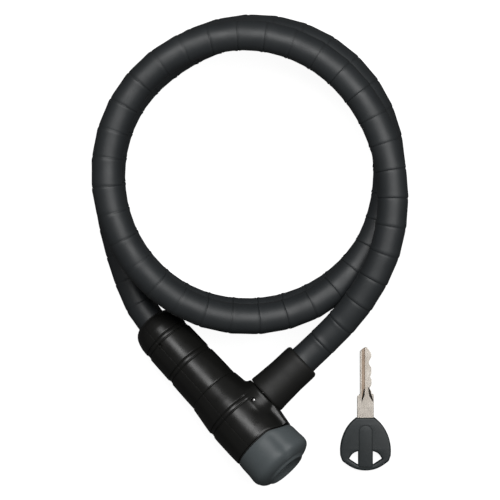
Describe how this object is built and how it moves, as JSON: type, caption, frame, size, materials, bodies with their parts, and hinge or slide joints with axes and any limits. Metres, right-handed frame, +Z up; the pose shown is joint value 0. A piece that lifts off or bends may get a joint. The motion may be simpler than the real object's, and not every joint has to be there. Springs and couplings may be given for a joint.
{
  "type": "armoured cable lock",
  "caption": "Thick armoured cable lock coiled in a ring, with a keyed barrel lock body, a locking stud in a side socket, and its flat key.",
  "frame": {"origin": "on the surface the set lies on, under the middle of the bounding box of coil, lock body and key", "axes": "+Z up from the surface; +Y across the ring away from the lock body, the set's longest side; +X to the right with the key at +X, -Y"},
  "size_m": [0.157, 0.2368, 0.0508],
  "materials": {
    "cable_sleeve": "satin black plastic sleeve with a faint blue cast over steel shell segments",
    "black_plastic": "semi-gloss moulded black plastic",
    "grey_plastic": "matt blue-grey moulded plastic",
    "black_rubber": "matt black rubber",
    "plated_steel": "zinc-plated steel",
    "hardened_steel": "dull hardened steel",
    "brass": "machined brass",
    "key_nickel": "nickel-plated key blank",
    "key_plastic": "satin dark moulded plastic",
    "key_inlay": "satin dark moulded plastic"
  },
  "bodies": {
    "cable_side": {"cable_sleeve": "cable_sleeve", "cable_armour": "hardened_steel", "steel_rope": "plated_steel", "ferrule_sleeve": "black_plastic", "locking_stud": "plated_steel", "stud_crimp": "hardened_steel"},
    "lock_body": {"lock_core": "hardened_steel", "cover_stud_side": "black_plastic", "cover_far_side": "black_plastic", "cable_anchor": "hardened_steel", "anchor_pin": "plated_steel", "cable_collar": "black_rubber", "socket_bush": "hardened_steel", "bush_pin": "plated_steel", "cylinder_shell": "brass", "cylinder_pin": "plated_steel", "end_cap": "grey_plastic", "cap_seal": "black_rubber", "shutter_spring": "plated_steel"},
    "plug": {"lock_plug": "brass", "wafer_1": "brass", "wafer_2": "brass", "wafer_3": "brass", "wafer_4": "brass", "wafer_5": "brass", "lock_cam": "plated_steel", "plug_clip": "plated_steel"},
    "bolt": {"locking_bolt": "hardened_steel"},
    "shutter": {"keyhole_shutter": "plated_steel"},
    "key": {"key_bow": "key_plastic", "key_blade": "key_nickel", "key_inlay": "key_inlay"}
  },
  "joints": [
    {"name": "lock_release", "type": "slide", "parent": "cable_side", "child": "lock_body", "axis": [-0.7302, -0.6833, 0], "range_m": [0, 0.028], "deforming": ["cable_sleeve", "cable_armour", "steel_rope"]},
    {"name": "plug_turn", "type": "hinge", "parent": "lock_body", "child": "plug", "pos_m": [-0.0498, -0.0372, 0.0112], "axis": [0.6615, -0.7069, 0.2504], "range_deg": [0, 90]},
    {"name": "bolt_throw", "type": "slide", "parent": "lock_body", "child": "bolt", "axis": [-0.1711, 0.1828, 0.9681], "range_m": [0, 0.00354]},
    {"name": "shutter_slide", "type": "slide", "parent": "lock_body", "child": "shutter", "axis": [-0.1711, 0.1828, 0.9681], "range_m": [0, 0.005], "stiffness_N_per_m": 30, "springref_m": -0.004, "deforming": ["shutter_spring"]},
    {"name": "key_lift", "type": "slide", "parent": "cable_side", "child": "key", "axis": [0, 0, 1], "range_m": [0, 0.06]}
  ],
  "couplings": [
    {"joint": "plug_turn", "follows": "bolt_throw", "rad_per_m": 444.2}
  ]
}
